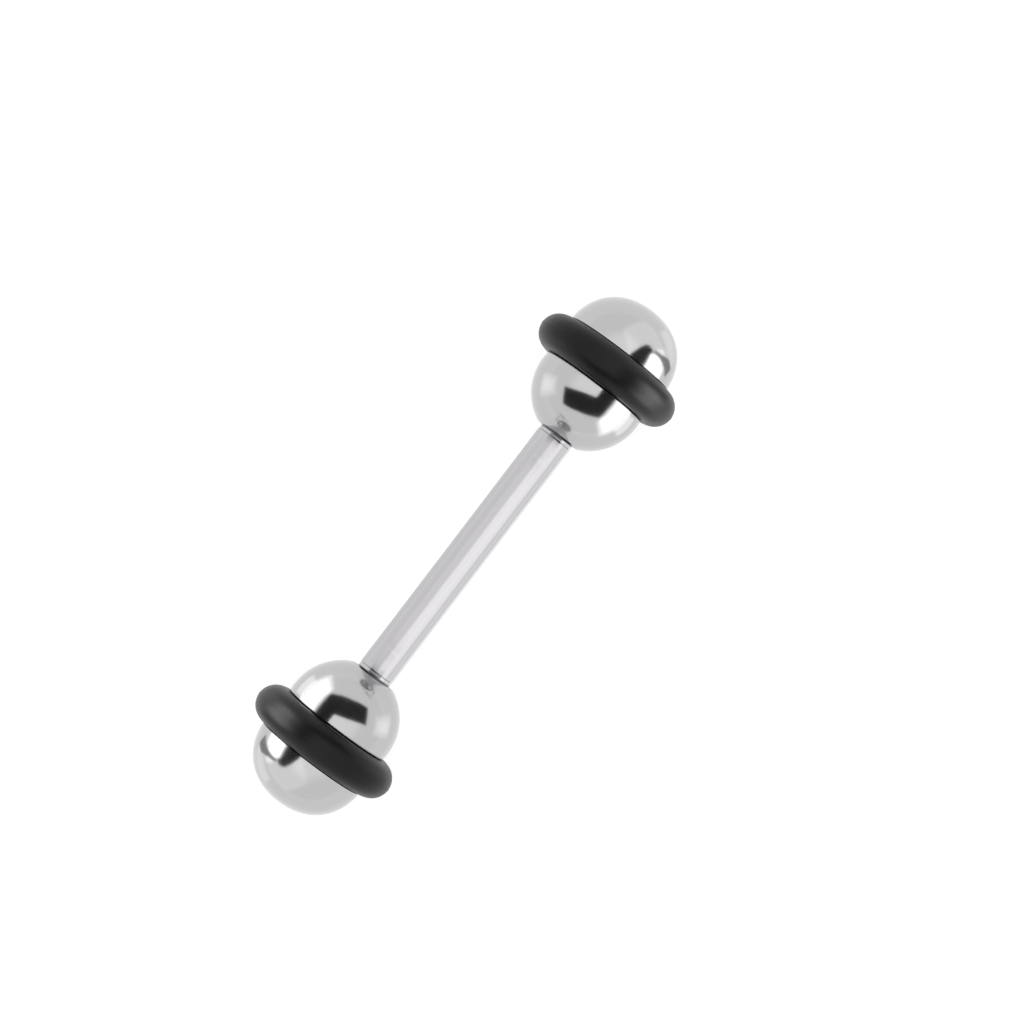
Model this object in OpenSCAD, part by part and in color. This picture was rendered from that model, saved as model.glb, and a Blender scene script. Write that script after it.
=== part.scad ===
// Tongue barbell. A straight steel bar is threaded at both ends, and a
// double-domed steel ball screws on to each end. A black rubber ring sits in
// a groove round the waist of each ball.
// The bar lies along X with its middle at the origin, and the barbell lies
// on its two rubber rings, on a floor below it. Sizes are in millimetres.

/* [Bar] */
// Diameter of the bar where it passes through the tongue
bar_d = 1.6; // [1.2:0.1:2.2]
// Length of bar between the two balls
bar_length = 12; // [6:1:24]
// Length of the bevel at each end of the bar
bar_bevel = 0.2; // [0.1:0.05:0.3]

/* [Thread] */
// How much smaller the thread's crests are than the bar, on the radius
thread_drop = 0.02; // [0.01:0.01:0.05]
// Depth of the thread, from crest to root
thread_depth = 0.2; // [0.12:0.02:0.24]
// Distance from one turn of the thread to the next
thread_pitch = 0.35; // [0.25:0.05:0.5]
// Number of turns of thread at each end
thread_turns = 9; // [4:1:10]
// Plain neck between the end of the bar proper and the first turn
thread_neck = 0.3; // [0.2:0.05:0.5]

/* [Balls] */
// Diameter of a ball's inner dome, the one next to the bar
inner_dome_d = 4.8; // [4.4:0.1:6]
// Diameter of a ball's outer dome, which is a little larger
outer_dome_d = 4.92; // [4.4:0.02:6]
// Distance between the centres of the two domes of a ball
dome_spacing = 1.79; // [1.5:0.01:2.4]
// Clearance all round between the bar and its hole in the ball
bar_clearance = 0.03; // [0.02:0.01:0.06]
// Width of the countersink round the mouth of the hole
mouth_bevel = 0.2; // [0.1:0.05:0.3]
// Space left in the hole beyond the end of the bar
hole_spare = 0.25; // [0.1:0.05:0.5]
// Angle of the drill's point at the bottom of the hole
drill_angle = 118; // [90:1:140]

/* [Rubber rings] */
// Thickness of the rubber
ring_section = 1.65; // [1.4:0.05:1.8]
// How far the ring stands out beyond the inner dome
ring_proud = 0.93; // [0.75:0.01:1.1]
// How far the ring sits outward of the middle between the two domes
ring_offset = 0.28; // [0:0.02:0.4]
// Clearance all round between the ring and its groove
ring_clearance = 0.03; // [0.02:0.01:0.06]

/* [Hidden] */
$fn = 96;
steel = [0.74, 0.74, 0.75];
satin_steel = [0.80, 0.79, 0.81];
rubber = [0.05, 0.05, 0.05];
inner_dome_r = inner_dome_d / 2;
outer_dome_r = outer_dome_d / 2;
bar_end = bar_length / 2;
crest_r = bar_d / 2 - thread_drop;
root_r = crest_r - thread_depth;
thread_start = bar_end + thread_neck;
thread_length = thread_turns * thread_pitch;
stud_end = thread_start + thread_length + bar_bevel;
hole_r = bar_d / 2 + bar_clearance;
hole_end = stud_end + hole_spare;
drill_point = hole_r / tan(drill_angle / 2);
mouth_r = hole_r + mouth_bevel;
inner_dome_x = bar_end + inner_dome_r;
outer_dome_x = inner_dome_x + dome_spacing;
mouth_x = inner_dome_x - sqrt(inner_dome_r * inner_dome_r - mouth_r * mouth_r);
ring_x = (inner_dome_x + outer_dome_x) / 2 + ring_offset;
ring_r = inner_dome_r + ring_proud - ring_section / 2;
// Turn of a rubber ring round the bar. With it, a ring meshed in this many
// steps lies on the flat between two lines of its mesh, and doesn't roll.
ring_steps = 58;
ring_turn = 180 / ring_steps;

// Lays a shape that is drawn round Z along X, towards the given side
module along_x(side) rotate([0, side * 90, 0]) children();

// Outline of one threaded end, as radius against distance from the bar's middle
function stud_outline() = concat(
    [[0, bar_end], [crest_r, bar_end], [crest_r, thread_start]],
    [for (turn = [0 : thread_turns - 1], half = [1, 2])
        [half == 1 ? root_r : crest_r, thread_start + (turn + half / 2) * thread_pitch]],
    [[crest_r - bar_bevel, stud_end], [0, stud_end]]);

module bar() color(satin_steel) {
    along_x(1) cylinder(d = bar_d, h = bar_length, center = true);
    for (side = [-1, 1])
        along_x(side) rotate_extrude() polygon(stud_outline());
}

module ball(side) color(steel) difference() {
    along_x(side) union() {
        translate([0, 0, inner_dome_x]) sphere(r = inner_dome_r);
        translate([0, 0, outer_dome_x]) sphere(r = outer_dome_r);
    }
    // Hole for the bar, with a countersunk mouth and a drill's point
    along_x(side) {
        translate([0, 0, bar_end]) cylinder(r = hole_r, h = hole_end - bar_end);
        translate([0, 0, hole_end]) cylinder(r1 = hole_r, r2 = 0, h = drill_point);
        translate([0, 0, mouth_x]) cylinder(r1 = mouth_r, r2 = hole_r, h = mouth_bevel);
        translate([0, 0, bar_end]) cylinder(r = mouth_r, h = mouth_x - bar_end);
    }
    // Groove that the rubber ring sits in
    ring_round(side, ring_section / 2 + ring_clearance);
}

// A ring round the ball's waist, with the given radius of section
module ring_round(side, section_r)
    along_x(side) translate([0, 0, ring_x]) rotate(ring_turn)
        rotate_extrude() translate([ring_r, 0]) circle(r = section_r);

module rubber_ring(side) color(rubber) ring_round(side, ring_section / 2);

bar();
ball(-1);  // left_ball
rubber_ring(-1);  // left_rubber_ring
ball(1);  // right_ball
rubber_ring(1);  // right_rubber_ring
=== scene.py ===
# %% [markdown]
# # A tongue barbell in Blender
# The real object is 25 mm long: a steel bar, a polished steel ball screwed on to
# each end, and a black rubber ring round the waist of each ball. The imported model
# gives every size. This lesson gives each piece its surface and its finish, and
# lights it as a small studio would.

# %% Load the model
import math

import bpy
import numpy as np
from mathutils import Matrix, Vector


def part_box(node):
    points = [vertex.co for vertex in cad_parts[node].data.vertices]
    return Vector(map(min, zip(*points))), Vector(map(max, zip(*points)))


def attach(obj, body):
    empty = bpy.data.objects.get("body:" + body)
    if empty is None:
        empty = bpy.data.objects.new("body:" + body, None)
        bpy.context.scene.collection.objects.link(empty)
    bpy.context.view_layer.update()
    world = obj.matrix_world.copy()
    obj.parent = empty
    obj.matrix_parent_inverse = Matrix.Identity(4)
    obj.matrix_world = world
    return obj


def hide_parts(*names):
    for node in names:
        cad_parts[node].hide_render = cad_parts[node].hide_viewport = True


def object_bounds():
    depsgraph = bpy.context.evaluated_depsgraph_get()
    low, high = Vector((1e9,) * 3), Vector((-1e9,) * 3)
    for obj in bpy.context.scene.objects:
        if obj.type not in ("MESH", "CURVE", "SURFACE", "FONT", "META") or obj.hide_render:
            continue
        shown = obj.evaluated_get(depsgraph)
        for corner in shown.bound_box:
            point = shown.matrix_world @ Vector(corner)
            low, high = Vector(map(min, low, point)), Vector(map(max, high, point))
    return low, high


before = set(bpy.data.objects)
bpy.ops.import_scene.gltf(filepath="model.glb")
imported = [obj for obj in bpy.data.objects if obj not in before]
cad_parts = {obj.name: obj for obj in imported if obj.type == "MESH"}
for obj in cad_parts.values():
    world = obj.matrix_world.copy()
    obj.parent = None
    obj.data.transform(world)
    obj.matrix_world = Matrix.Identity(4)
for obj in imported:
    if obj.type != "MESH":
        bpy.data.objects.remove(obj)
cad_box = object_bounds()
print("the model's box in mm", [[round(1000 * x, 2) for x in corner] for corner in cad_box])

# %% [markdown]
# Lengths are in metres here, and this object has details of a few hundredths of a
# millimetre, so one name stands for a millimetre. What the box of a node tells is
# read from it: where the bar ends, where a ring lies and how thick its rubber is.
# The sizes that a box doesn't tell, such as the depth of the thread or the spacing
# of a ball's two domes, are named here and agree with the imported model.

# %% Sizes
MM = 0.001
ENDS = {"left": -1, "right": 1}

bar_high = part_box("bar")[1]
ball_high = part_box("right_ball")[1]
ring_low, ring_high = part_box("right_rubber_ring")

bar_r = 0.8 * MM
bar_end = 6.0 * MM
stud_end = bar_high.x
bar_bevel = 0.2 * MM
crest_drop = 0.02 * MM
crest_r = bar_r - crest_drop
thread_depth = 0.2 * MM
thread_pitch = 0.35 * MM
thread_neck = 0.3 * MM

inner_dome_r = 2.4 * MM
outer_dome_r = 2.46 * MM
dome_spacing = 1.79 * MM
inner_dome_x = bar_end + inner_dome_r
outer_dome_x = inner_dome_x + dome_spacing
hole_clearance = 0.03 * MM
hole_r = bar_r + hole_clearance
mouth_bevel = 0.2 * MM
hole_spare = 0.25 * MM
hole_end = stud_end + hole_spare
drill_angle = math.radians(118)

ring_x = (ring_low.x + ring_high.x) / 2
ring_section_r = (ring_high.x - ring_low.x) / 2
ring_r = min(ring_high.y, ring_high.z) - ring_section_r
ring_clearance = 0.03 * MM
floor_z = cad_box[0].z
ball_tip = outer_dome_x + outer_dome_r
print("ball's tip in mm:", round(ball_tip / MM, 3), "and in its box:", round(ball_high.x / MM, 3))
print("ring: middle radius", round(ring_r / MM, 3), "mm")
print("ring: section", round(2 * ring_section_r / MM, 3), "mm")

# %% [markdown]
# Every piece here is turned on a lathe or moulded in a turned mould, so one helper
# makes them all: it carries an outline round the bar's axis. The outline is a row
# of points (distance along the bar, radius). A dense outline costs little where it
# bends and nothing where it is straight, so it is sampled again: a step is short
# where the outline turns, and long where it runs straight. First, though, its
# corners are rounded by a moving average along its length, because no polished
# edge is really sharp.

# %% Outlines
OUTLINE_STEP = 0.004 * MM
TOUCHING = 1e-9
SHOULDER = 2.2


def line(start, end):
    """Points spaced evenly along the straight line between two points of an outline."""
    count = max(2, int(math.dist(start, end) / OUTLINE_STEP))
    return np.linspace(start, end, count)


def arc(centre, radius, first, last):
    """Points of a circle: centre + radius * (cos, sin) of an angle, which goes from first to
    last, in radians."""
    count = max(2, int(abs(last - first) * radius / OUTLINE_STEP))
    angle = np.linspace(first, last, count)
    return np.array(centre) + radius * np.column_stack((np.cos(angle), np.sin(angle)))


def full_dome(centre, radius, first, last):
    """Points of a dome that is a little fuller at its shoulder than a circle is: the radius is
    multiplied by (|cos|^n + |sin|^n)^(-1/n), which is 1 at the tip and at the waist. n is
    SHOULDER, and 2 would give the circle."""
    circle = arc(centre, radius, first, last) - centre
    share = np.abs(circle / radius) ** SHOULDER
    return centre + circle * (share.sum(axis=1, keepdims=True)) ** (-1 / SHOULDER)


def joined(*stretches):
    """The stretches of an outline, one after the other, without the points that they share."""
    points = np.vstack(stretches)
    step = np.hypot(*np.diff(points, axis=0).T)
    return points[np.concatenate(([True], step > TOUCHING))]


def eased(points, edge_r):
    """The outline with its corners rounded to about edge_r: each point becomes the average of
    the points within edge_r of it along the outline. The two ends stay where they are."""
    along = np.concatenate(([0], np.cumsum(np.hypot(*np.diff(points, axis=0).T))))
    even = np.arange(0, along[-1], OUTLINE_STEP)
    dense = np.column_stack([np.interp(even, along, column) for column in points.T])
    half = max(1, round(edge_r / OUTLINE_STEP))
    before = 2 * dense[0] - dense[half:0:-1]
    beyond = 2 * dense[-1] - dense[-2 : -half - 2 : -1]
    padded = np.vstack((before, dense, beyond))
    weight = np.hanning(2 * half + 3)[1:-1]
    weight /= weight.sum()
    smooth = np.column_stack([np.convolve(column, weight, "valid") for column in padded.T])
    smooth[0], smooth[-1] = points[0], points[-1]
    return smooth


def spaced(points, longest, turn, fine=None):
    """Samples an outline again. Its points lie at most longest apart, turn by at most turn
    radians from one to the next, and lie at most fine(x, radius) apart where that is given."""
    delta = np.diff(points, axis=0)
    length = np.hypot(*delta.T)
    heading = np.unwrap(np.arctan2(delta[:, 1], delta[:, 0]))
    bend = np.abs(np.concatenate((np.diff(heading), [0])))
    cost = length / longest + bend / turn
    if fine is not None:
        cost += length / fine(*points[1:].T)
    along = np.concatenate(([0], np.cumsum(cost)))
    picked = np.linspace(0, along[-1], int(math.ceil(along[-1])) + 1)
    return np.column_stack([np.interp(picked, along, column) for column in points.T])


swell = np.hypot(*full_dome((0, 0), outer_dome_r, 0, math.pi / 2).T).max() - outer_dome_r
print("the full dome stands at most", round(swell / MM, 3), "mm outside its circle")

# %% [markdown]
# Blender wants corner points and faces. A turned surface is a grid: one row for
# each point of the outline, one column for each step round the bar. An outline
# that starts or ends on the axis closes there in one point with a fan of
# triangles. A relief function can then lift the surface by an amount that depends
# on where it is, which is how the thread's helix gets into a turned shape.

# %% Turned surfaces
def turned(outline, steps, relief=None, closed=False):
    """Points and faces of an outline turned round the X axis. A grid point is
    (x, r cos a, r sin a), where a runs once round and r is the outline's radius plus
    relief(x, a, r). Ends on the axis become poles. A closed outline joins its end to its start."""
    on_axis = [not closed and outline[k, 1] < TOUCHING for k in (0, -1)]
    body = outline[1 if on_axis[0] else 0 : -1 if on_axis[1] else None]
    rows = len(body)
    angle = np.arange(steps) * 2 * math.pi / steps
    x, a = np.meshgrid(body[:, 0], angle, indexing="ij")
    r = np.repeat(body[:, 1:], steps, axis=1)
    if relief is not None:
        r = r + relief(x, a, r)
    points = [np.stack((x, r * np.cos(a), r * np.sin(a)), axis=-1).reshape(-1, 3)]
    index = np.arange(rows * steps).reshape(rows, steps)
    beyond = np.roll(index, -1, axis=1)
    low, high = (index, np.roll(index, -1, axis=0)) if closed else (index[:-1], index[1:])
    low_beyond, high_beyond = (
        (beyond, np.roll(beyond, -1, axis=0)) if closed else (beyond[:-1], beyond[1:])
    )
    faces = np.stack((low, high, high_beyond, low_beyond), axis=-1).reshape(-1, 4).tolist()
    for pole, row, flip in ((0, 0, False), (-1, rows - 1, True)):
        if on_axis[pole]:
            tip = sum(len(p) for p in points)
            points.append(np.array([[outline[pole, 0], 0, 0]]))
            ring, after = index[row], beyond[row]
            fan = (after, ring) if flip else (ring, after)
            faces += np.column_stack((np.full(steps, tip), *fan)).tolist()
    return np.vstack(points), faces


def half_turned(points):
    """The same points turned half a turn about the upright axis, which is how one end of the
    barbell becomes the other. A mirror image would turn the thread left-handed."""
    return points * np.array([-1, -1, 1])


def in_scene(name, data):
    """A new object in the scene that shows a mesh, a lamp or a camera."""
    made = bpy.data.objects.new(name, data)
    bpy.context.scene.collection.objects.link(made)
    return made


def mesh_of(name, points, faces):
    """A new object with a mesh of these points and faces."""
    mesh = bpy.data.meshes.new(name)
    mesh.from_pydata(points, [], faces)
    return in_scene(name, mesh)


def piece(name, points, faces, body, nodes):
    """A smooth mesh of these points and faces that rides on a body and stands for CAD nodes."""
    made = mesh_of(name, points.tolist(), faces)
    made.data.validate()
    made.data.shade_smooth()
    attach(made, body)
    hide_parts(*nodes)
    volume = signed_volume(points, faces)
    print(f"{name}: {len(faces)} faces, {volume / MM**3:.1f} cubic mm")
    return made


def pair(kind, points, faces, node):
    """A piece at the right end and its partner at the left end, half a turn on. Each rides on
    the body of its end and stands for one node."""
    made = {}
    for side_name, side in ENDS.items():
        placed = points if side > 0 else half_turned(points)
        name, body = f"{side_name}_{kind}", f"{side_name}_end"
        made[side_name] = piece(name, placed, faces, body, [f"{side_name}_{node}"])
    return made


def signed_volume(points, faces):
    """Volume inside a closed mesh, from the pyramids between its faces and the origin. It is
    positive when the faces point outwards."""
    corners = np.array([face if len(face) == 4 else [*face, face[-1]] for face in faces])
    a, b, c, d = (points[corners[:, k]] for k in range(4))
    return float((np.cross(b - a, c - a) * a).sum() + (np.cross(c - a, d - a) * a).sum()) / 6


rod = turned(np.array([(bar_end, 0), (bar_end, bar_r), (0, bar_r), (0, 0)]), steps=96)
share = signed_volume(*rod) / (math.pi * bar_r**2 * bar_end)
print("a plain turned rod of 96 sides has", round(share, 4), "of a cylinder's volume")

# %% [markdown]
# A thread is one groove that winds round and round. Where it is on the bar depends
# on the distance along the bar less the angle's share of one pitch, so its depth is
# one function of that difference, and the same function cuts the bar's groove and
# the ball's. The two then mesh, as a real nut and bolt do. The groove's flanks
# stand about 60 degrees apart, with a narrow flat at the crest and at the root, and
# it fades in over one turn.

# %% Thread
thread_start = bar_end + thread_neck
CREST_FLAT = 0.12
ROOT_FLAT = 0.16


def thread_share(x, angle):
    """How deep the groove is at a place, from 0 at a crest to 1 at a root: a triangle wave of
    x / pitch - angle / turn, with its peaks cut flat. The flats are shares of the pitch."""
    phase = np.mod((x - thread_start) / thread_pitch - angle / (2 * math.pi), 1.0)
    wave = 2 * np.abs(phase - 0.5)
    return np.clip((1 - CREST_FLAT - wave) / (1 - CREST_FLAT - ROOT_FLAT), 0, 1)


def fade(x, start, end):
    """0 at start, 1 at end, and eased between them."""
    t = np.clip((x - start) / (end - start), 0, 1)
    return t * t * (3 - 2 * t)


def rolled_thread(x, angle, radius):
    """The bar's groove, as a change of radius. The left end is the right end turned half a turn
    about the upright axis, which takes an angle to half a turn less that angle."""
    right_angle = np.where(x > 0, angle, math.pi - angle)
    away = np.abs(x)
    depth = thread_depth * thread_share(away, right_angle)
    depth *= fade(away, thread_start - thread_pitch / 2, thread_start + thread_pitch / 2)
    return -depth * fade(radius, crest_r - bar_bevel, crest_r)


flank_run = thread_pitch / 2 * (1 - CREST_FLAT - ROOT_FLAT)
flank_angle = 2 * math.degrees(math.atan(flank_run / thread_depth))
print("thread from", round(thread_start / MM, 2), "mm, flanks", round(flank_angle), "degrees apart")

# %% [markdown]
# The bar is drawn wire, cut to length. Its outline starts on the axis at one end,
# goes up the flat end and the bevel, along the thread's crests, over the tiny step
# where the full thickness starts, and down the other side in the same way.

# %% Bar
ROWS_PER_TURN = 16
NO_LIMIT = 1.0
BAR_EDGE = 0.03 * MM
stud_start = bar_end + 0.01 * MM


def bar_outline():
    """Half of the bar's outline from its middle to its end, then mirrored to the other half."""
    half = joined(
        line((0, bar_r), (bar_end, bar_r)),
        line((bar_end, bar_r), (stud_start, crest_r)),
        line((stud_start, crest_r), (stud_end - bar_bevel, crest_r)),
        line((stud_end - bar_bevel, crest_r), (stud_end, crest_r - bar_bevel)),
        line((stud_end, crest_r - bar_bevel), (stud_end, 0)),
    )
    whole = np.vstack((half[::-1], half[1:] * np.array([-1, 1])))
    return eased(whole, BAR_EDGE)


def threaded_rows(x, radius):
    """Rows lie close enough to draw a thread where there is one, and far apart elsewhere."""
    threaded = (np.abs(x) > thread_start - thread_pitch) & (radius > crest_r - bar_bevel)
    return np.where(threaded, thread_pitch / ROWS_PER_TURN, NO_LIMIT)


bar_rows = spaced(bar_outline(), longest=1.0 * MM, turn=0.12, fine=threaded_rows)
bar_points, bar_faces = turned(bar_rows, steps=96, relief=rolled_thread)
bar = piece("steel_bar", bar_points, bar_faces, "bar", ["bar"])

# %% [markdown]
# A ball is two domes that run into each other. The ring sits in a groove cut where
# the waist would be, a hair wider than the rubber. The outline starts on the axis
# at the outer tip, goes over the outer dome, round the groove, over the inner dome,
# down the countersink, and into the tapped hole to the drill's point. Where two
# circles of the outline meet is worked out, and not guessed.

# %% Balls
TAPPED_ROWS_PER_TURN = 14
TAPPED_SHARE = 0.62
BALL_EDGE = 0.035 * MM
tapped_rows_r = 1.01 * hole_r
tapped_relief_r = 1.02 * hole_r
groove_r = ring_section_r + ring_clearance
mouth_r = hole_r + mouth_bevel
mouth_x = inner_dome_x - math.sqrt(inner_dome_r**2 - mouth_r**2)


def meeting(dome_x, dome_r, side):
    """Where the ring's groove meets a dome: the angle round the dome's centre and the angle
    round the groove's centre. side is +1 for the outer dome and -1 for the inner one."""
    along, up = ring_x - dome_x, ring_r
    apart = math.hypot(along, up)
    to_groove = math.atan2(up, along)
    at_dome = math.acos((dome_r**2 + apart**2 - groove_r**2) / (2 * dome_r * apart))
    at_groove = math.acos((groove_r**2 + apart**2 - dome_r**2) / (2 * groove_r * apart))
    return to_groove - side * at_dome, to_groove + math.pi + side * at_groove


def ball_outline():
    """The right ball's outline, from its outer tip to the bottom of its hole."""
    outer_edge, groove_start = meeting(outer_dome_x, outer_dome_r, 1)
    inner_edge, groove_end = meeting(inner_dome_x, inner_dome_r, -1)
    mouth_angle = math.atan2(mouth_r, mouth_x - inner_dome_x)
    drill_point = hole_r / math.tan(drill_angle / 2)
    outline = joined(
        full_dome((outer_dome_x, 0), outer_dome_r, 0, outer_edge),
        arc((ring_x, ring_r), groove_r, groove_start, groove_end),
        arc((inner_dome_x, 0), inner_dome_r, inner_edge, mouth_angle),
        line((mouth_x, mouth_r), (mouth_x + mouth_bevel, hole_r)),
        line((mouth_x + mouth_bevel, hole_r), (hole_end, hole_r)),
        line((hole_end, hole_r), (hole_end + drill_point, 0)),
    )
    return eased(outline, BALL_EDGE)


def tapped_rows(x, radius):
    """Rows lie close enough to draw the thread inside the hole, and far apart elsewhere."""
    tapped = (radius < tapped_rows_r) & (x < hole_end)
    return np.where(tapped, thread_pitch / TAPPED_ROWS_PER_TURN, NO_LIMIT)


def tapped_thread(x, angle, radius):
    """Between the grooves of the hole, the steel stands in towards the bar's own grooves."""
    ridge = TAPPED_SHARE * thread_depth * thread_share(x, angle)
    inside = fade(x, mouth_x + mouth_bevel / 2, mouth_x + mouth_bevel + thread_pitch)
    before_end = 1 - fade(x, hole_end - 2 * thread_pitch, hole_end - thread_pitch)
    in_hole = np.where(radius < tapped_relief_r, 1.0, 0.0)
    return -ridge * inside * before_end * in_hole


ball_rows = spaced(ball_outline(), longest=0.12 * MM, turn=0.06, fine=tapped_rows)
ball_points, ball_faces = turned(ball_rows, steps=144, relief=tapped_thread)
balls = pair("steel_ball", ball_points, ball_faces, "ball")

# %% [markdown]
# A rubber ring is moulded in two halves, and the thin line where they met runs
# round its outside and inside. The section is a circle, a hair smaller than the
# real one so that the line stays within it.

# %% Rubber rings
SECTION_POINTS = 96
DRAWN_TOGETHER = 0.42
flash_height = 0.012 * MM
flash_width = 0.05 * MM


def ring_outline():
    """A circle round the middle of the rubber, with a low ridge at its outermost and innermost
    points: radius = section + height * exp(-(distance along the bar / width) squared). The
    points are drawn together near the ridge."""
    angle = np.linspace(0, 2 * math.pi, SECTION_POINTS + 1)[:-1]
    pulled = angle + DRAWN_TOGETHER * np.sin(2 * angle)
    bare_r = ring_section_r - flash_height
    spread = bare_r * np.cos(pulled) / flash_width
    radius = bare_r + flash_height * np.exp(-(spread**2))
    return np.column_stack((ring_x + radius * np.cos(pulled), ring_r + radius * np.sin(pulled)))


ring_points, ring_faces = turned(ring_outline(), steps=192, closed=True)
rings = pair("ring_of_rubber", ring_points, ring_faces, "rubber_ring")

# %% [markdown]
# A material is a small program that runs at each point of a surface. In Blender it
# is a graph of nodes, and a sum such as 1 - mask takes a node and two wires. The
# class below wraps a socket, so that such a sum can be written as a sum. Any other
# node comes from one method, which sets its settings first and then its inputs.

# %% Shader helpers
class Socket:
    """A value in a material, which can be added, multiplied and so on as a number can."""

    def __init__(self, tree, socket):
        self.tree, self.socket = tree, socket

    def maths(self, operation, *values):
        """Adds a Math node with this operation and these values, and gives its result."""
        node = self.tree.nodes.new("ShaderNodeMath")
        node.operation = operation
        for slot, value in zip(node.inputs, values):
            join(self.tree, value, slot)
        return Socket(self.tree, node.outputs[0])

    def __add__(self, other):
        return self.maths("ADD", self, other)

    def __sub__(self, other):
        return self.maths("SUBTRACT", self, other)

    def __rsub__(self, other):
        return self.maths("SUBTRACT", other, self)

    def __mul__(self, other):
        return self.maths("MULTIPLY", self, other)

    __radd__ = __add__
    __rmul__ = __mul__


def join(tree, value, slot):
    """Feeds a socket, a number or a colour into a node's input."""
    if isinstance(value, Socket):
        tree.links.new(value.socket, slot)
    else:
        slot.default_value = value


class Graph:
    """A graph of nodes, and the one method that adds a node to it."""

    def __init__(self, tree):
        self.tree = tree

    def node(self, kind, settings=None, output=0, **inputs):
        """Makes a node of a kind, sets its settings and then its inputs, and gives an output."""
        made = self.tree.nodes.new(f"ShaderNode{kind}")
        for name, value in (settings or {}).items():
            setattr(made, name, value)
        for name, value in inputs.items():
            join(self.tree, value, made.inputs[name.replace("_", " ")])
        return Socket(self.tree, made.outputs[output])


class Finish(Graph):
    """A material with one Principled surface."""

    def __init__(self, name, **constants):
        self.material = bpy.data.materials.new(name)
        self.material.use_nodes = True
        super().__init__(self.material.node_tree)
        self.surface = self.tree.nodes["Principled BSDF"]
        for slot_name, value in constants.items():
            self.surface.inputs[slot_name.replace("_", " ")].default_value = value

    def place(self, scale=(1, 1, 1)):
        """Where a point is on its piece, in metres, stretched by scale."""
        coordinates = self.node("TexCoord", output="Object")
        return self.node("Mapping", Vector=coordinates, Scale=scale)

    def noise(self, place, size, detail=2.0, roughness=0.5):
        """Soft random values from 0 to 1, in lumps of about size metres."""
        settings = dict(Scale=1 / size, Detail=detail, Roughness=roughness)
        return self.node("TexNoise", Vector=place, **settings)

    def feeds(self, slot_name, value):
        """Lets a value steer one of the surface's inputs."""
        join(self.tree, value, self.surface.inputs[slot_name])

    def bumped(self, height, distance, strength=1.0):
        """Tilts the surface as if it rose by distance metres where height goes from 0 to 1."""
        lifted = self.node("Bump", Height=height, Distance=distance, Strength=strength)
        self.feeds("Normal", lifted)


def dress(objects, finish):
    """Gives every object the one material."""
    for made in objects:
        made.data.materials.clear()
        made.data.materials.append(finish.material)


print("a value in a material can be added, subtracted and multiplied")

# %% [markdown]
# The balls are mirror-polished on a soft wheel. A mirror shows its surroundings,
# and what tells it from glass is small: the buffing leaves a faint haze in places
# and hair-fine scratches, and the surface rises and falls by less than a
# thousandth of a millimetre, which makes straight reflections waver a little.

# %% Polished steel
POLISHED_ROUGHNESS = 0.13
HAZE = 0.07
SCRATCH_SHARE = 0.05
SCRATCH_STRETCH = (1, 14, 14)


def polished_steel():
    """Steel whose roughness is POLISHED_ROUGHNESS + HAZE * noise, and whose height is a slow
    waver with SCRATCH_SHARE of scratches that run along the bar's axis."""
    finish = Finish(
        "polished_steel",
        Base_Color=(0.453, 0.453, 0.458, 1),
        Metallic=1.0,
        Roughness=0.165,
    )
    place = finish.place()
    haze = finish.noise(place, size=0.9 * MM, detail=3.0)
    finish.feeds("Roughness", POLISHED_ROUGHNESS + HAZE * haze)
    waver = finish.noise(place, size=1.4 * MM, detail=1.0)
    stretched = finish.place(SCRATCH_STRETCH)
    scratches = finish.noise(stretched, size=0.5 * MM, detail=3.0, roughness=0.6)
    height = (1 - SCRATCH_SHARE) * waver + SCRATCH_SHARE * scratches
    finish.bumped(height, distance=0.004 * MM)
    return finish


dress(balls.values(), polished_steel())
print("polished steel: roughness", POLISHED_ROUGHNESS, "to", round(POLISHED_ROUGHNESS + HAZE, 2))

# %% [markdown]
# The bar is satin: drawn through a die and lightly brushed, with fine lines along
# its length. The lines are far too fine to model, so they are a noise that is
# stretched along the bar, and they change how blurred a reflection is.

# %% Satin steel
SATIN_ROUGHNESS = 0.14
LINE_ROUGHNESS = 0.06
PATCH_ROUGHNESS = 0.05
LINE_STRETCH = (0.06, 1, 1)
PATCH_STRETCH = (0.5, 1, 1)


def satin_steel():
    """Steel whose roughness is SATIN_ROUGHNESS + LINE_ROUGHNESS * lines + PATCH_ROUGHNESS *
    patches. Both are noises that are drawn out along the bar, and the lines tilt it too."""
    finish = Finish(
        "satin_steel",
        Base_Color=(0.43, 0.422, 0.437, 1),
        Metallic=1.0,
        Roughness=0.2,
    )
    lines = finish.noise(finish.place(LINE_STRETCH), size=0.05 * MM, detail=3.0, roughness=0.6)
    patches = finish.noise(finish.place(PATCH_STRETCH), size=0.8 * MM, detail=2.0)
    roughness = SATIN_ROUGHNESS + LINE_ROUGHNESS * lines + PATCH_ROUGHNESS * patches
    finish.feeds("Roughness", roughness)
    finish.bumped(lines, distance=0.0015 * MM)
    return finish


dress([bar], satin_steel())
roughest = SATIN_ROUGHNESS + LINE_ROUGHNESS + PATCH_ROUGHNESS
print("satin steel: roughness", SATIN_ROUGHNESS, "to", round(roughest, 2))

# %% [markdown]
# The rings are black rubber, smooth from the mould, with a soft sheen. Rubber
# picks up a little dust and skin grease, so its sheen is uneven.

# %% Black rubber
RUBBER_ROUGHNESS = 0.32
WEAR = 0.12


def black_rubber():
    """Near-black rubber whose roughness is RUBBER_ROUGHNESS + WEAR * patches, with a fine
    grain."""
    finish = Finish(
        "black_rubber",
        Base_Color=(0.004, 0.004, 0.004, 1),
        Roughness=0.42,
        Specular_IOR_Level=0.17,
    )
    place = finish.place()
    patches = finish.noise(place, size=0.7 * MM, detail=3.0)
    grain = finish.noise(place, size=0.05 * MM, detail=2.0)
    finish.feeds("Roughness", RUBBER_ROUGHNESS + WEAR * patches)
    finish.bumped(grain, distance=0.003 * MM)
    return finish


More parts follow.
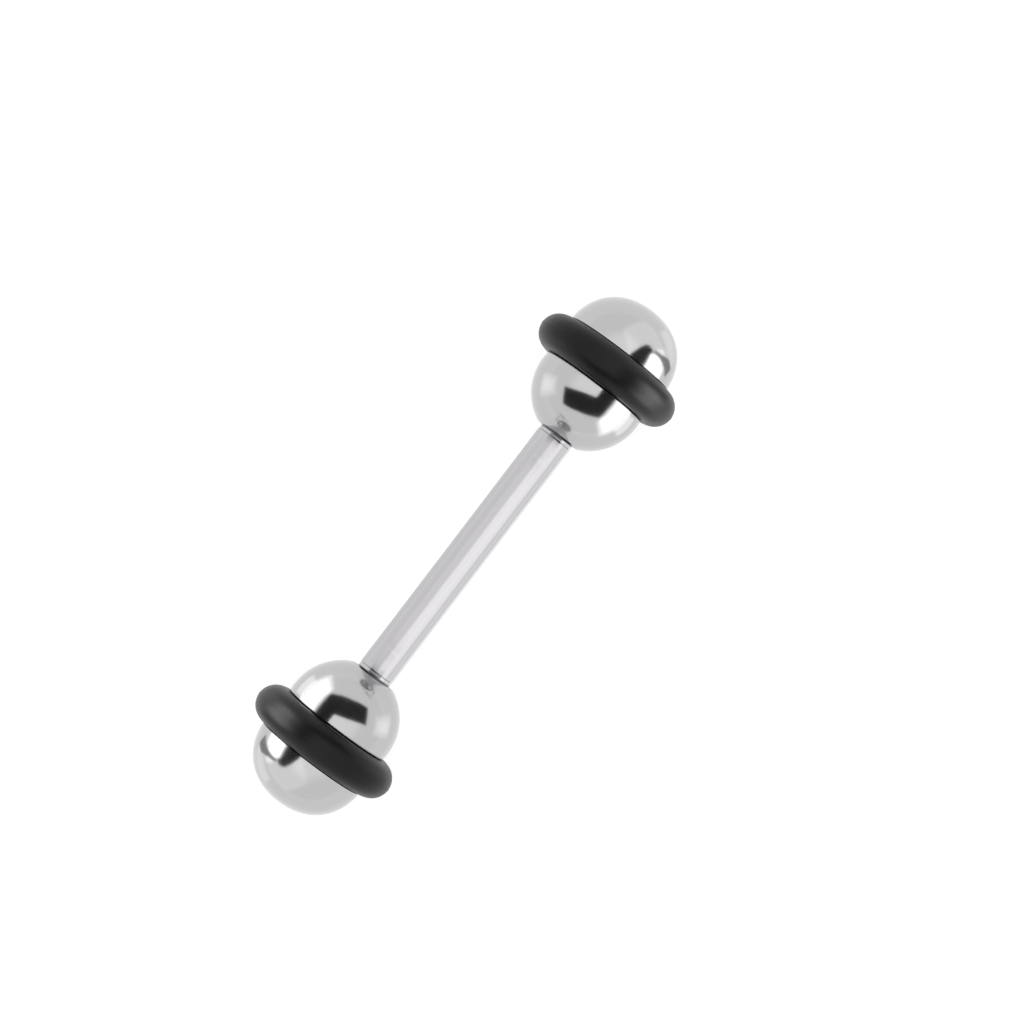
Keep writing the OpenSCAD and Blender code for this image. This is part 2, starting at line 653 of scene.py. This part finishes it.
dress(rings.values(), black_rubber())
print("black rubber: roughness", RUBBER_ROUGHNESS, "to", round(RUBBER_ROUGHNESS + WEAR, 2))

# %% [markdown]
# The camera looks straight down on the barbell, as the photographer did, with the
# bar running up to the right. It stands close above the middle of the bar, so each
# ring is seen a little from its inner side. It is turned by about a degree to put
# the barbell where it lies in the picture, because moving the lens sideways would
# also move every other view.

# %% Camera
PICTURE = 1024
BAR_MIDDLE = (465.5, 555.5)
BAR_RISE = math.radians(52.68)
PIXELS_PER_MM = 24.35
SENSOR = 36.0
camera_height = 125 * MM


def stand(made, place, backward, sideways):
    """Puts a camera or a lamp at a place. Both look along their own -Z, so Z becomes backward,
    X becomes the part of sideways that is square to it, and Y is square to both."""
    backward = backward / np.linalg.norm(backward)
    right = sideways - backward * (sideways @ backward)
    right /= np.linalg.norm(right)
    matrix = np.eye(4)
    matrix[:3, :3] = np.column_stack((right, np.cross(backward, right), backward))
    matrix[:3, 3] = place
    made.matrix_world = Matrix(matrix.tolist())


right_in_picture = np.array([math.cos(BAR_RISE), -math.sin(BAR_RISE), 0])
up_in_picture = np.array([math.sin(BAR_RISE), math.cos(BAR_RISE), 0])
offset = (PICTURE / 2 - np.array(BAR_MIDDLE)) / PIXELS_PER_MM * MM
looks_at = offset[0] * right_in_picture - offset[1] * up_in_picture

camera_data = bpy.data.cameras.new("camera")
camera = in_scene("camera", camera_data)
bpy.context.scene.camera = camera
camera_data.sensor_width = SENSOR
camera_data.lens = SENSOR * PIXELS_PER_MM * (camera_height / MM) / PICTURE
camera_data.clip_start = 1 * MM
camera_data.clip_end = 10.0

camera_place = np.array([0, 0, camera_height])
stand(camera, camera_place, camera_place - looks_at, right_in_picture)
print("lens", round(camera_data.lens, 1), "mm")

# %% [markdown]
# The floor is a sheet of white card, and the barbell lies on it on its two rings.
# A shop's picture shows such a sheet as plain white. It is lit by the room, and it
# also glows by itself, which stands for a strong light on the sheet alone: on the
# steel, such a light would burn the dark shapes out.

# %% Floor
FLOOR_REACH = 2.0
FLOOR_GREY = 0.42
FLOOR_GLOW = 0.65


def floor():
    """A square sheet at the height of the model's lowest point, FLOOR_REACH metres each way,
    with the fine lumps of paper fibres."""
    reach = FLOOR_REACH
    corners = [(-reach, -reach), (reach, -reach), (reach, reach), (-reach, reach)]
    made = mesh_of("floor", [(*corner, floor_z) for corner in corners], [(0, 1, 2, 3)])
    finish = Finish(
        "white_sheet",
        Base_Color=(FLOOR_GREY, FLOOR_GREY, FLOOR_GREY, 1),
        Roughness=0.9,
        Emission_Color=(1, 1, 1, 1),
        Emission_Strength=FLOOR_GLOW,
    )
    fibres = finish.noise(finish.place(), size=0.4 * MM, detail=4.0)
    finish.bumped(fibres, distance=0.01 * MM, strength=0.3)
    dress([made], finish)


floor()
print("floor at", round(floor_z / MM, 3), "mm")

# %% [markdown]
# Polished steel has hardly a colour of its own, and what it shows is the room. The
# room here is white on all sides and a little brighter overhead, as under a white
# ceiling. In a ball seen from above the ceiling is the middle of the dome and the
# walls are its rim, so this one step gives a dome its light middle. Colours are
# shown as they are worked out, with no film curve, so that white stays white.

# %% Surroundings
CEILING_GLOW = 1.34
WALL_GLOW = 1.14
CEILING_EDGE = math.radians(26)
WALL_EDGE = math.radians(50)


def surroundings():
    """A white world. Its glow is CEILING_GLOW up to CEILING_EDGE from straight up, WALL_GLOW
    from WALL_EDGE on, and changes between them as a smooth step of the direction's height."""
    world = bpy.data.worlds.new("studio")
    bpy.context.scene.world = world
    world.use_nodes = True
    room = Graph(world.node_tree)
    direction = room.node("TexCoord", output="Generated")
    height = room.node("SeparateXYZ", output="Z", Vector=direction)
    overhead = room.node(
        "MapRange",
        {"interpolation_type": "SMOOTHSTEP"},
        Value=height,
        From_Min=math.cos(WALL_EDGE),
        From_Max=math.cos(CEILING_EDGE),
    )
    glow = WALL_GLOW * (1 - overhead) + CEILING_GLOW * overhead
    background = world.node_tree.nodes["Background"]
    background.inputs["Color"].default_value = (1, 1, 1, 1)
    join(world.node_tree, glow, background.inputs["Strength"])


surroundings()
bpy.context.scene.view_settings.view_transform = "Standard"
print("the room glows", WALL_GLOW, "at the sides and", CEILING_GLOW, "overhead")

# %% [markdown]
# A lamp that shows in a mirror is a shape first of all, so each one is a flat
# rectangle with a place, a size and a radiance, which is how bright its face looks.
# Blender asks for a lamp's power, and for a flat lamp that is pi times its radiance
# times its area. A lamp names the pieces that it lights, so that each piece can be
# lit by itself. The two ends of the barbell are alike, and so is their light: what
# stands at the right end stands at the left one too, half a turn on. Places and
# sizes are in millimetres here.

# %% Lamps
BALL_MIDDLE = (9.4, 0, 0)


def group(name, *objects):
    """A collection that names what a lamp lights."""
    made = bpy.data.collections.new(name)
    for member in objects:
        made.objects.link(member)
    return made


def towards(side, place):
    """A place near the right ball, in mm, or its partner near the left ball, half a turn on."""
    return np.array(place) * (side, side, 1) * MM


def lamp(name, side, place, target, size, radiance, lights):
    """A rectangular lamp that faces target, at the end that side names. Its power is
    pi * radiance * width * height, and one of its sides is level."""
    width, height = size[0] * MM, size[1] * MM
    data = bpy.data.lights.new(name, "AREA")
    data.shape = "RECTANGLE"
    data.size, data.size_y = width, height
    data.energy = math.pi * radiance * width * height
    made = in_scene(name, data)
    place, target = towards(side, place), towards(side, target)
    stand(made, place, place - target, np.cross([0, 0, 1.0], place - target))
    made.visible_camera = False
    made.light_linking.receiver_collection = lights


print("the lamps stand round a ball whose middle is", BALL_MIDDLE[0], "mm along the bar")

# %% [markdown]
# The bright panel in the picture stands low at one side of each end. It shows as
# the white patch on the inner dome and as the white spot on the outer one. It is
# three rectangles side by side, because its edge isn't straight. Rubber is a far
# weaker mirror than steel, so the same panel is brighter for the ring, which gives
# the ring its soft highlight.

# %% Bright panels
PANEL_Y = -20
PANEL_RADIANCE = 1.0
RUBBER_RADIANCE = 6.5
PANELS = {
    "inner": dict(middle_x=3.0, middle_z=7.6, width=16.0, height=13.8),
    "middle": dict(middle_x=14.5, middle_z=6.4, width=7.0, height=16.2),
    "outer": dict(middle_x=21.6, middle_z=7.7, width=7.2, height=13.6),
}


def panel(name, side, middle_x, middle_z, width, height, radiance, lights):
    """One upright rectangle of the bright panel, which faces straight across the bar."""
    place, target = (middle_x, PANEL_Y, middle_z), (middle_x, 0, middle_z)
    lamp(name, side, place, target, (width, height), radiance, lights)


for side_name, side in ENDS.items():
    steel = group(f"{side_name}_steel", balls[side_name])
    rubber = group(f"{side_name}_rubber", rings[side_name])
    for name, row in PANELS.items():
        first_part = f"{side_name}_{name}_panel"
        panel(first_part, side, **row, radiance=PANEL_RADIANCE, lights=steel)
        panel(f"{first_part}_for_rubber", side, **row, radiance=RUBBER_RADIANCE, lights=rubber)
print("bright panels:", len(PANELS), "at each end")

# %% [markdown]
# The other lamps are weak. A wide one behind the bright panel softens its edges,
# and two on top of each other make one with a faint border. Small reflectors close
# to the ball lighten a place on it, as a photographer does with a slip of paper.

# %% Soft lamps and reflectors
SOFT_LAMPS = {
    "panel_edge": dict(
        place=(11, -20.5, 6.1), target=(11, 0, 6.1), size=(40, 17.8), radiance=0.65
    ),
    "side_glow": dict(place=(23, -13, 14), target=BALL_MIDDLE, size=(38, 20), radiance=0.18),
    "wide_side_glow": dict(place=(23, -13, 14), target=BALL_MIDDLE, size=(54, 34), radiance=0.19),
    "low_reflector": dict(
        place=(7.7, -6.6, -0.6), target=(8, 0, 0), size=(3.2, 2.8), radiance=0.5
    ),
    "rim_reflector": dict(
        place=(14.8, -4.1, -1.1), target=(10.2, 0, 0), size=(4.5, 2.8), radiance=0.25
    ),
    "fill": dict(place=(4.5, 8, 0.9), target=BALL_MIDDLE, size=(2.4, 4.4), radiance=0.45),
    "wide_fill": dict(place=(4.5, 8, 0.9), target=BALL_MIDDLE, size=(4.6, 6.4), radiance=0.25),
}
for side_name, side in ENDS.items():
    end_pieces = group(f"{side_name}_end_pieces", balls[side_name], rings[side_name])
    for name, row in SOFT_LAMPS.items():
        lamp(f"{side_name}_{name}", side, **row, lights=end_pieces)
print("soft lamps and reflectors:", len(SOFT_LAMPS), "at each end")

# %% [markdown]
# Black cards give a mirror its dark shapes, and without them polished steel looks
# like white plastic. A sloped card over the outer dome makes the dark wedge beside
# the white spot. An upright card over the bar's end makes the dark bent stroke on
# the inner dome: it stands in the plane of the rays that the bar sends back to the
# camera, so the bar doesn't show it. Its back glows white by itself, because
# otherwise the ball at the other end would show it too. A bent strip that glows a
# dim grey by itself makes the thin hook beyond the white spot. Both glows are
# painted light, in place of the room's light on a white and a grey card. The camera
# doesn't see the cards themselves.

# %% Black and grey cards
CARD_HEIGHT = 2.5
CARD_RISE = 0.27
CARD_OUTLINE = [
    (6.7, 3.6),
    (7.8, 0.4),
    (8.2, -1.0),
    (11.5, -1.4),
    (14.0, -2.6),
    (17.2, -4.6),
    (20.7, -7.8),
    (22.6, -11.5),
    (24.0, -16.0),
    (17.8, -9.3),
    (14.4, -6.8),
    (8.2, -4.0),
    (6.2, -3.5),
    (6.2, 3.1),
]
UPRIGHT_X = 4.9
UPRIGHT_OUTLINE = [
    (4.8, 5.7),
    (1.9, 3.5),
    (0.8, 3.9),
    (-0.3, 4.35),
    (-2.9, 4.9),
    (-4.9, 5.3),
    (-6.2, 6.5),
]
CARD_THICKNESS = 0.05
# Painted light: the white back glows by itself as a white card lit by the room would look.
WHITE_BACK_GLOW = 1.16
STRIP_MIDDLE = [(16.2, -6.4, 4.5), (14.3, -5.8, 2.0), (12.9, -5.2, 0.0), (12.0, -5.1, -0.8)]
STRIP_WIDTHS = [0.9, 0.9, 1.5, 1.4]
# Painted light: the grey strip glows by itself as a lit grey card would look.
STRIP_GLOW = 0.37


def card(name, side, corners, radiance=0.0, faces=None):
    """A card with the given corners, in mm near the right ball, that only mirrors show. It is
    one flat face unless its faces are given."""
    points = towards(side, corners)
    made = mesh_of(name, points.tolist(), faces or [list(range(len(points)))])
    made.visible_camera = False
    made.visible_diffuse = False
    made.visible_shadow = False
    # A radiance above 0 makes the card glow by itself: painted light, in place of the room's light
    # on a pale card.
    finish = Finish(
        name,
        Base_Color=(0.01, 0.01, 0.01, 1),
        Roughness=1.0,
        Specular_IOR_Level=0.0,
        Emission_Color=(1, 1, 1, 1),
        Emission_Strength=radiance,
    )
    dress([made], finish)


def bent_strip(middle, widths, target):
    """Corners and faces of a strip along a middle line. Each corner is half a width from the
    line, square to the way that the line runs there and to the way from there to target."""
    middle = np.array(middle)
    along = np.gradient(middle, axis=0)
    across = np.cross(along, np.array(target) - middle)
    across *= np.array(widths)[:, None] / 2 / np.linalg.norm(across, axis=1, keepdims=True)
    count = len(middle)
    faces = [(k, k + 1, count + k + 1, count + k) for k in range(count - 1)]
    return np.vstack((middle + across, middle - across)), faces


upright_lean = UPRIGHT_X * MM / camera_height
upright = [(UPRIGHT_X + upright_lean * z, y, z) for y, z in UPRIGHT_OUTLINE]
glowing_white_back = [(x - CARD_THICKNESS, y, z) for x, y, z in upright]
sloped = [(x, y, CARD_HEIGHT + CARD_RISE * x) for x, y in CARD_OUTLINE]
strip_corners, strip_faces = bent_strip(STRIP_MIDDLE, STRIP_WIDTHS, BALL_MIDDLE)
for side_name, side in ENDS.items():
    card(f"{side_name}_sloped_card", side, sloped)
    card(f"{side_name}_upright_card", side, upright)
    card(f"{side_name}_glowing_white_back", side, glowing_white_back, WHITE_BACK_GLOW)
    card(f"{side_name}_glowing_grey_strip", side, strip_corners, STRIP_GLOW, strip_faces)
lean = math.degrees(math.atan(upright_lean))
print("the upright card leans", round(lean, 2), "degrees away from the middle")

# %% [markdown]
# The bar is a cylinder, so its picture of the room is drawn out along it into
# stripes: in the photograph a grey side, a bright band and a darker edge. Long
# strips of light beside the bar, each filling a range of angles, draw just those
# stripes, and they light nothing but the bar.

# %% Strip lamps beside the bar
STRIP_LAMP_LENGTH = 30
STRIP_LAMPS = {
    "far": dict(first=-150, last=-69, distance=4.5, radiance=0.066),
    "top": dict(first=-95, last=-30, distance=12.0, radiance=0.10),
    "bright": dict(first=0, last=68, distance=12.0, radiance=0.51),
    "bright_edge": dict(first=32, last=68, distance=12.0, radiance=0.17),
    "gap": dict(first=68, last=116, distance=9.0, radiance=0.24),
    "near": dict(first=116, last=150, distance=4.0, radiance=0.59),
}
bar_pieces = group("bar_pieces", bar)


def strip_lamp(name, first, last, distance, radiance):
    """A long lamp that fills the angles from first to last, in degrees from straight above the
    bar towards the light's side. Its width is 2 * distance * tan(half of that range)."""
    middle, half = math.radians((first + last) / 2), math.radians((last - first) / 2)
    place = (0, -distance * math.sin(middle), distance * math.cos(middle))
    size = (STRIP_LAMP_LENGTH, 2 * distance * math.tan(half))
    lamp(name, 1, place, (0, 0, 0), size, radiance, bar_pieces)


for name, row in STRIP_LAMPS.items():
    strip_lamp(f"bar_{name}", **row)
print("strip lamps beside the bar:", len(STRIP_LAMPS))

# %% [markdown]

# %% [markdown]
# The last line prints how many pieces there are.

# %% Finish
print("pieces:", 1 + len(balls) + len(rings))
